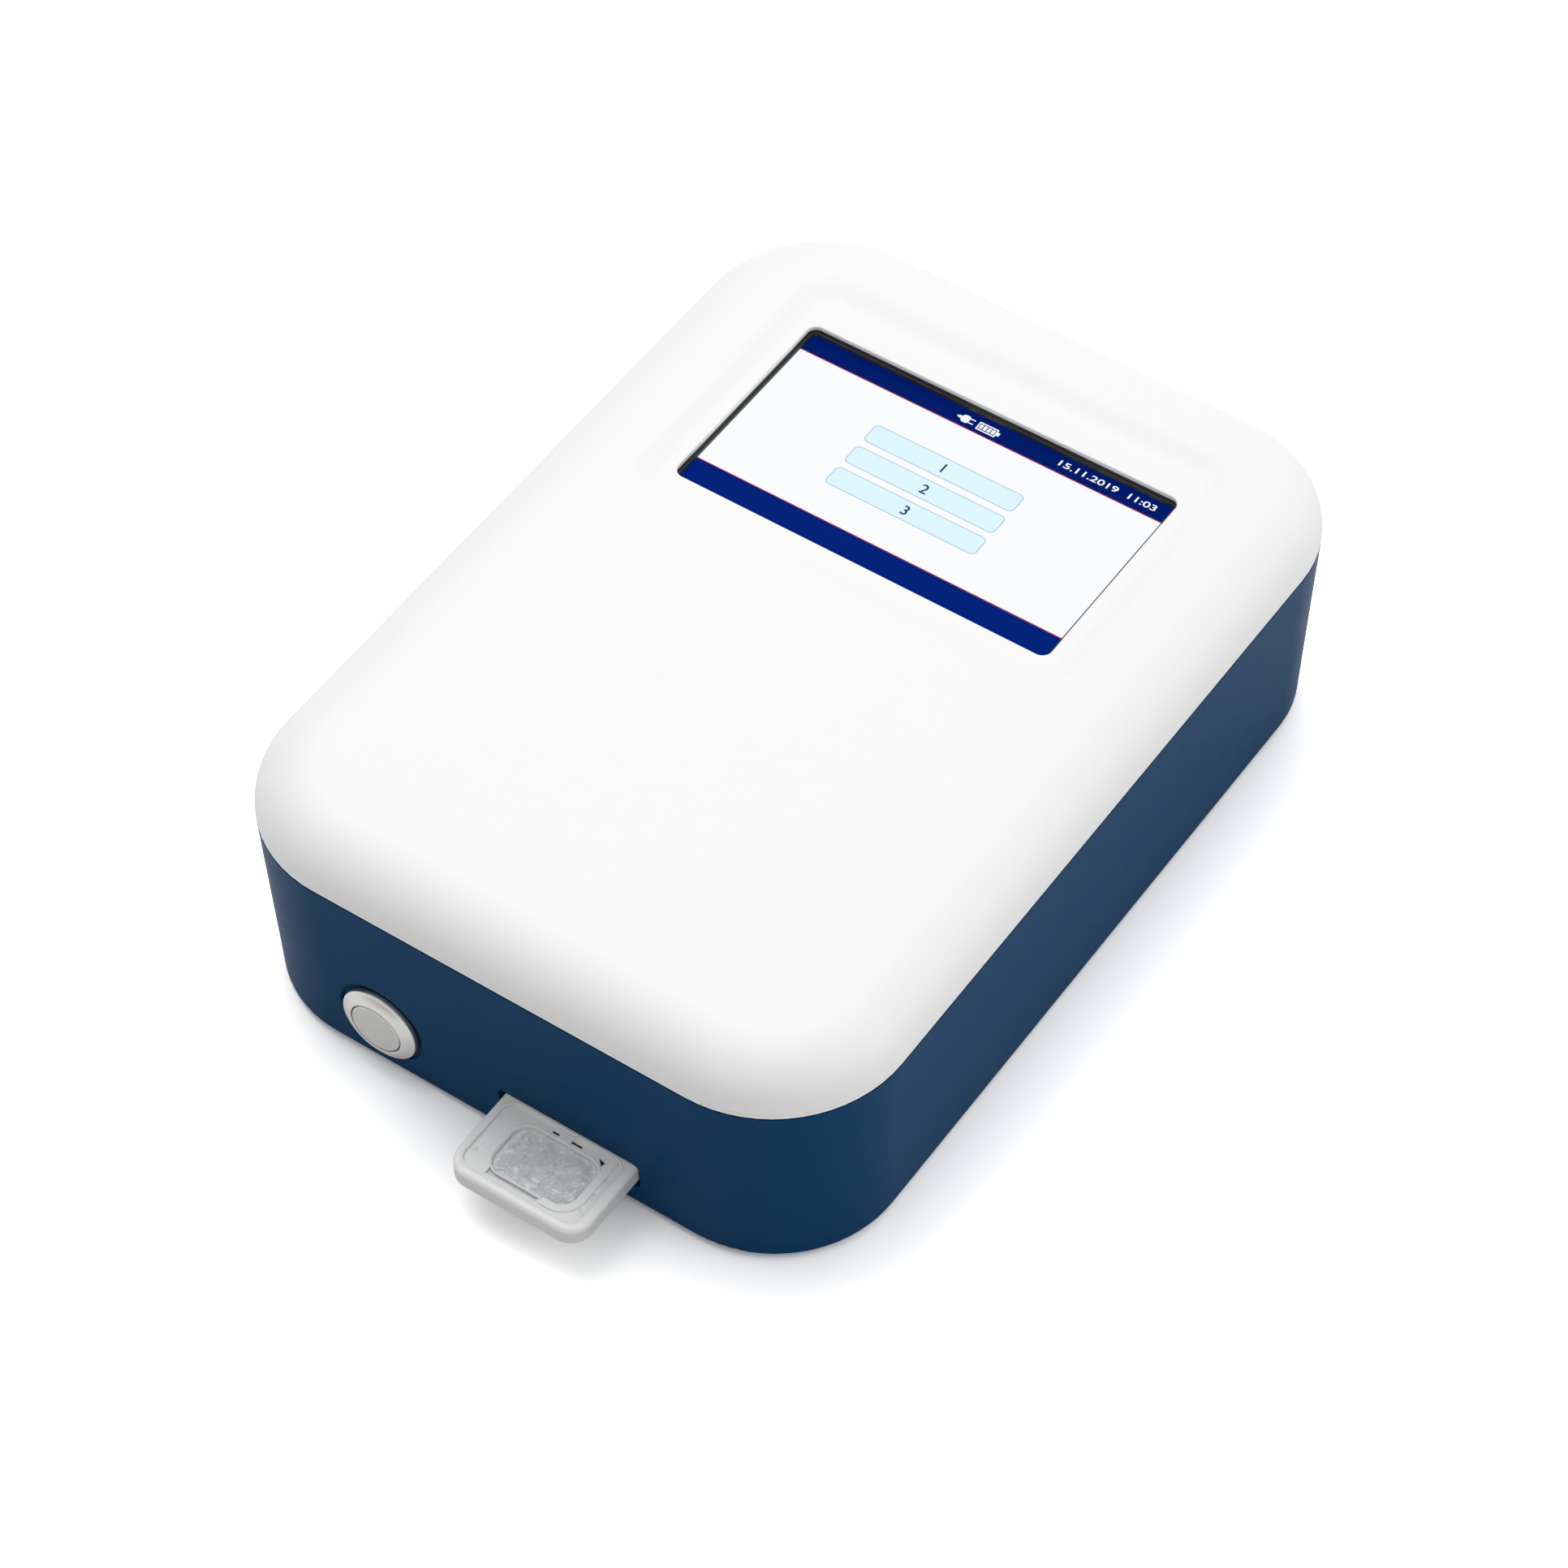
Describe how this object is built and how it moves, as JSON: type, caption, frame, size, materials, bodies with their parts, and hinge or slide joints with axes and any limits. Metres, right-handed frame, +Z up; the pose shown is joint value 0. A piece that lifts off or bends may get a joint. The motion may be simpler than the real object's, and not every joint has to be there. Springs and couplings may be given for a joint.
{
  "type": "rapid test reader",
  "caption": "Bench-top reader for lateral flow test cartridges: drafted base, soft-edged cover with sunk display, push button, slot with a sliding cartridge and a scanning head inside.",
  "frame": {"origin": "centre of the body's outline on the table, under the four feet", "axes": "+X right along the front, +Y from the front (cartridge slot) to the back, +Z up"},
  "size_m": [0.182, 0.2782, 0.0735],
  "materials": {
    "housing_blue": "satin moulded shell",
    "cover_white": "fine satin moulded shell",
    "gasket_black": "matt",
    "foot_rubber": "matt",
    "bezel_grey": "matt",
    "display_glass": "polished",
    "display_panel": "lit panel",
    "plated_steel": "zinc plated",
    "satin_steel": "fine brushed",
    "insert_brass": "turned",
    "board_green": "solder mask",
    "part_black": "moulded",
    "ribbon_amber": "film",
    "battery_wrap": "shrink film",
    "spring_steel": "bright wire",
    "frosted_clear": "frosted translucent",
    "pad_fibre": "fibrous",
    "strip_white": "membrane",
    "bay_grey": "moulded",
    "frame_aluminium": "folded sheet",
    "motor_dark": "painted",
    "optics_black": "black anodised",
    "lens_glass": "coated",
    "filter_glass": "tinted"
  },
  "bodies": {
    "housing": {"base_housing": "housing_blue", "battery_pack": "battery_wrap", "battery_strap": "plated_steel", "bay_screws": "plated_steel", "board_parts": "part_black", "board_screws": "plated_steel", "button_bezel": "satin_steel", "button_nut": "insert_brass", "button_seal": "gasket_black", "button_spring": "spring_steel", "buzzer": "part_black", "cartridge_bay": "bay_grey", "cartridge_detent": "spring_steel", "cartridge_sensor": "part_black", "cover_inserts": "insert_brass", "cover_screws": "plated_steel", "display_bezel": "bezel_grey", "display_bracket": "plated_steel", "display_glass": "display_glass", "display_ribbon": "ribbon_amber", "display_screws": "plated_steel", "frame_screws": "plated_steel", "guide_rods": "spring_steel", "lcd_panel": "display_panel", "main_board": "board_green", "motor_screws": "plated_steel", "power_inlet": "part_black", "rubber_feet": "foot_rubber", "scanner_frame": "frame_aluminium", "screw_bearing": "insert_brass", "seam_gasket": "gasket_black", "stepper_motor": "motor_dark", "strap_screws": "plated_steel", "switch_block": "part_black", "top_cover": "cover_white", "usb_port": "plated_steel"},
    "power_button": {"button_cap": "satin_steel"},
    "cartridge": {"cartridge_lid": "frosted_clear", "cartridge_tray": "frosted_clear", "sample_pad": "pad_fibre", "test_strips": "strip_white"},
    "lead_screw": {"lead_screw": "spring_steel"},
    "scan_carriage": {"scan_carriage": "optics_black", "screw_nut": "insert_brass", "optics_block": "optics_black", "objective_lens": "lens_glass", "emission_filter": "filter_glass", "photodiode": "part_black", "detector_board": "board_green", "optics_screws": "plated_steel"}
  },
  "joints": [
    {"name": "power_button_press", "type": "slide", "parent": "housing", "child": "power_button", "axis": [0, 1, 0], "range_m": [0, 0.0018], "stiffness_N_per_m": 1200, "springref_m": -0.0006, "deforming": ["button_spring"]},
    {"name": "cartridge_pull", "type": "slide", "parent": "housing", "child": "cartridge", "axis": [0, -1, 0], "range_m": [0, 0.055]},
    {"name": "carriage_travel", "type": "slide", "parent": "housing", "child": "scan_carriage", "axis": [0, 1, 0], "range_m": [0, 0.03]},
    {"name": "lead_screw_spin", "type": "hinge", "parent": "housing", "child": "lead_screw", "pos_m": [0.0074, -0.087, 0.05], "axis": [0, 1, 0], "range_deg": [-3610, 0]}
  ],
  "couplings": [
    {"joint": "lead_screw_spin", "follows": "carriage_travel", "rad_per_m": -2094.4}
  ]
}
